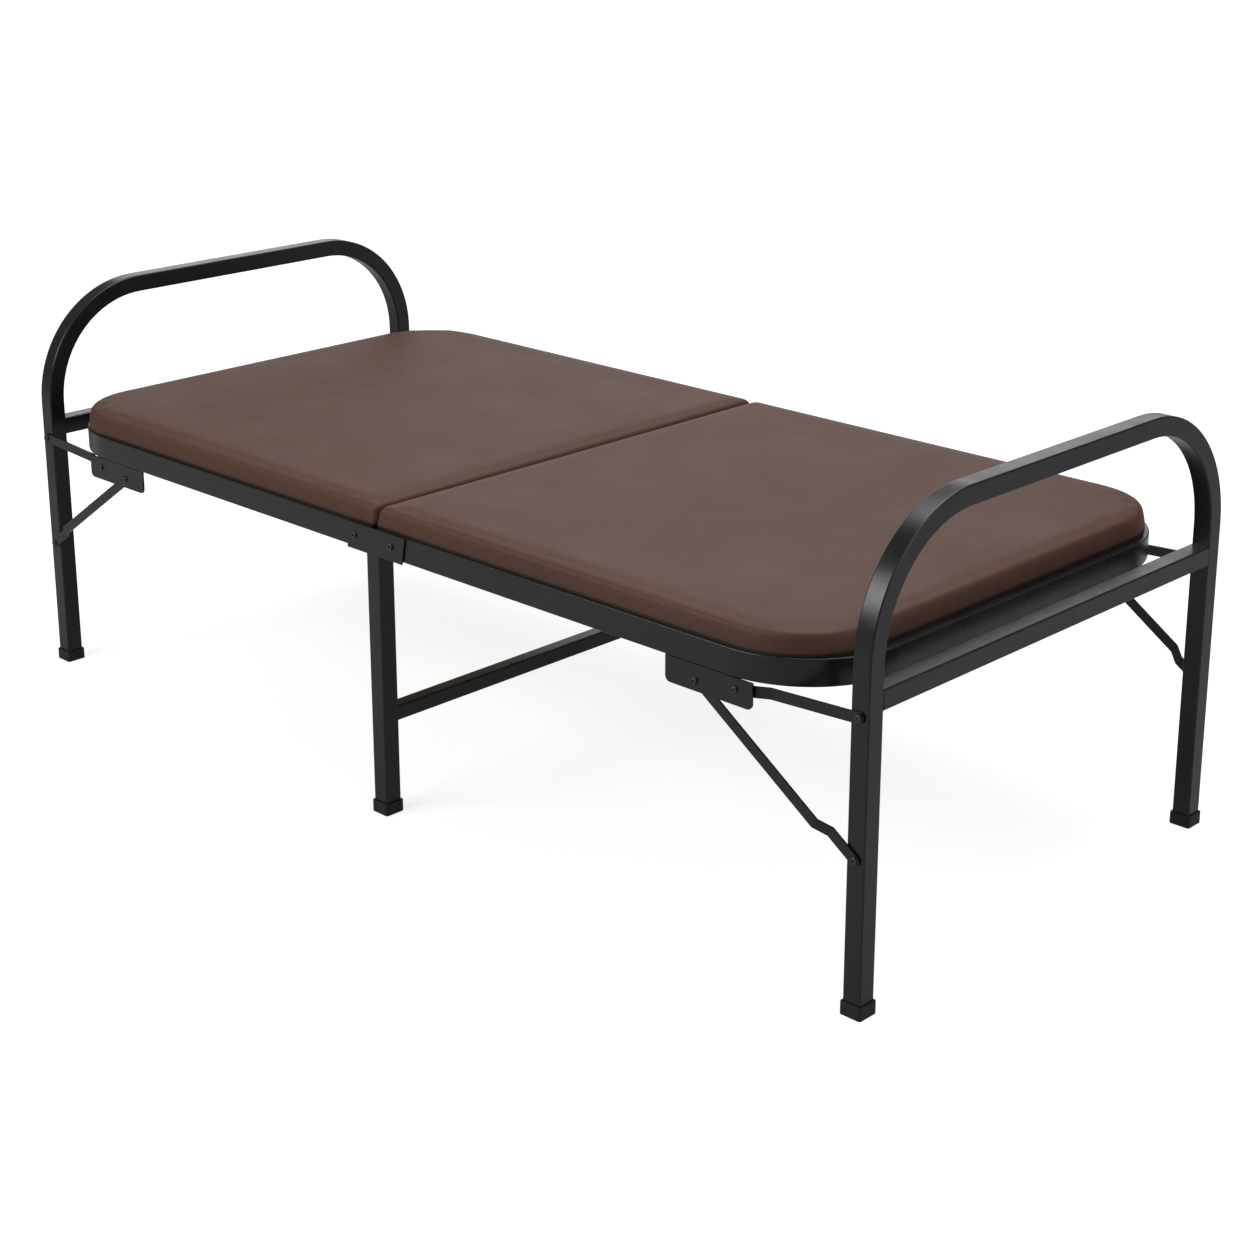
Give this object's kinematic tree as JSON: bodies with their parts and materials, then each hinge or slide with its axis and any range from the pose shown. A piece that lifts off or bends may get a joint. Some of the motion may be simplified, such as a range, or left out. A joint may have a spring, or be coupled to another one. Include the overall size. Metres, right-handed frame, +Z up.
{
  "type": "folding cot",
  "caption": "Folding cot with a padded deck in two halves on steel tube frames, a middle stand and a bent tube loop at each end that folds in on flat links.",
  "frame": {"origin": "on the floor under the middle of the cot, at the centre of its footprint", "axes": "+X along the cot towards the foot half, +Y across it to the left, +Z up"},
  "size_m": [1.906, 0.902, 0.7],
  "materials": {
    "black_paint": "satin",
    "black_plastic": "matte",
    "black_fastener": "gloss",
    "zinc_screw": "satin",
    "plywood": "matte",
    "foam": "matte",
    "leatherette": "satin"
  },
  "bodies": {
    "stand": {"stand_leg_right": "black_paint", "stand_leg_left": "black_paint", "stand_cross_bar": "black_paint", "stand_leg_cap_right": "black_plastic", "stand_leg_cap_left": "black_plastic", "hinge_channel_right": "black_paint", "hinge_channel_left": "black_paint", "fold_bolts": "black_fastener", "fold_nuts": "black_fastener"},
    "foot_deck": {"foot_deck_frame": "black_paint", "foot_cross_tube_inner": "black_paint", "foot_cross_tube_middle": "black_paint", "foot_cross_tube_outer": "black_paint", "foot_board": "plywood", "foot_foam": "foam", "foot_pad_cover": "leatherette", "foot_board_screws": "zinc_screw", "foot_link_bracket_right": "black_paint", "foot_link_bracket_left": "black_paint", "foot_bracket_rivets": "black_fastener"},
    "foot_upper_links": {"foot_upper_link_right": "black_paint", "foot_upper_link_left": "black_paint"},
    "foot_end_loop": {"foot_loop": "black_paint", "foot_loop_cross_bar": "black_paint", "foot_leg_cap_right": "black_plastic", "foot_leg_cap_left": "black_plastic", "foot_leg_rivets": "black_fastener"},
    "foot_lower_links": {"foot_lower_link_right": "black_paint", "foot_lower_link_left": "black_paint", "foot_end_rivets": "black_fastener"},
    "head_deck": {"head_deck_frame": "black_paint", "head_cross_tube_inner": "black_paint", "head_cross_tube_middle": "black_paint", "head_cross_tube_outer": "black_paint", "head_board": "plywood", "head_foam": "foam", "head_pad_cover": "leatherette", "head_board_screws": "zinc_screw", "head_link_bracket_right": "black_paint", "head_link_bracket_left": "black_paint", "head_bracket_rivets": "black_fastener"},
    "head_upper_links": {"head_upper_link_right": "black_paint", "head_upper_link_left": "black_paint"},
    "head_end_loop": {"head_loop": "black_paint", "head_loop_cross_bar": "black_paint", "head_leg_cap_right": "black_plastic", "head_leg_cap_left": "black_plastic", "head_leg_rivets": "black_fastener"},
    "head_lower_links": {"head_lower_link_right": "black_paint", "head_lower_link_left": "black_paint", "head_end_rivets": "black_fastener"}
  },
  "joints": [
    {"name": "foot_fold", "type": "hinge", "parent": "stand", "child": "foot_deck", "pos_m": [0.043, 0, 0.456], "axis": [0, 1, 0], "range_deg": [0, 60]},
    {"name": "foot_leg_fold", "type": "hinge", "parent": "foot_deck", "child": "foot_upper_links", "pos_m": [0.739, 0, 0.419], "axis": [0, 1, 0], "range_deg": [0, 179.56]},
    {"name": "foot_leg_turn", "type": "hinge", "parent": "foot_upper_links", "child": "foot_end_loop", "pos_m": [0.935, 0, 0.43], "axis": [0, 1, 0], "range_deg": [-89.6, 0]},
    {"name": "foot_lower_link_turn", "type": "hinge", "parent": "foot_deck", "child": "foot_lower_links", "pos_m": [0.667, 0, 0.412], "axis": [0, 1, 0], "range_deg": [0, 144.9]},
    {"name": "head_fold", "type": "hinge", "parent": "stand", "child": "head_deck", "pos_m": [-0.043, 0, 0.456], "axis": [0, -1, 0], "range_deg": [0, 60]},
    {"name": "head_leg_fold", "type": "hinge", "parent": "head_deck", "child": "head_upper_links", "pos_m": [-0.739, 0, 0.419], "axis": [0, -1, 0], "range_deg": [0, 179.56]},
    {"name": "head_leg_turn", "type": "hinge", "parent": "head_upper_links", "child": "head_end_loop", "pos_m": [-0.935, 0, 0.43], "axis": [0, -1, 0], "range_deg": [-89.6, 0]},
    {"name": "head_lower_link_turn", "type": "hinge", "parent": "head_deck", "child": "head_lower_links", "pos_m": [-0.667, 0, 0.412], "axis": [0, -1, 0], "range_deg": [0, 144.9]}
  ],
  "couplings": [
    {"joint": "foot_leg_turn", "follows": "foot_leg_fold", "ratio": -0.49878},
    {"joint": "foot_lower_link_turn", "follows": "foot_leg_fold", "ratio": 0.80667},
    {"joint": "head_leg_turn", "follows": "head_leg_fold", "ratio": -0.49878},
    {"joint": "head_lower_link_turn", "follows": "head_leg_fold", "ratio": 0.80667}
  ]
}
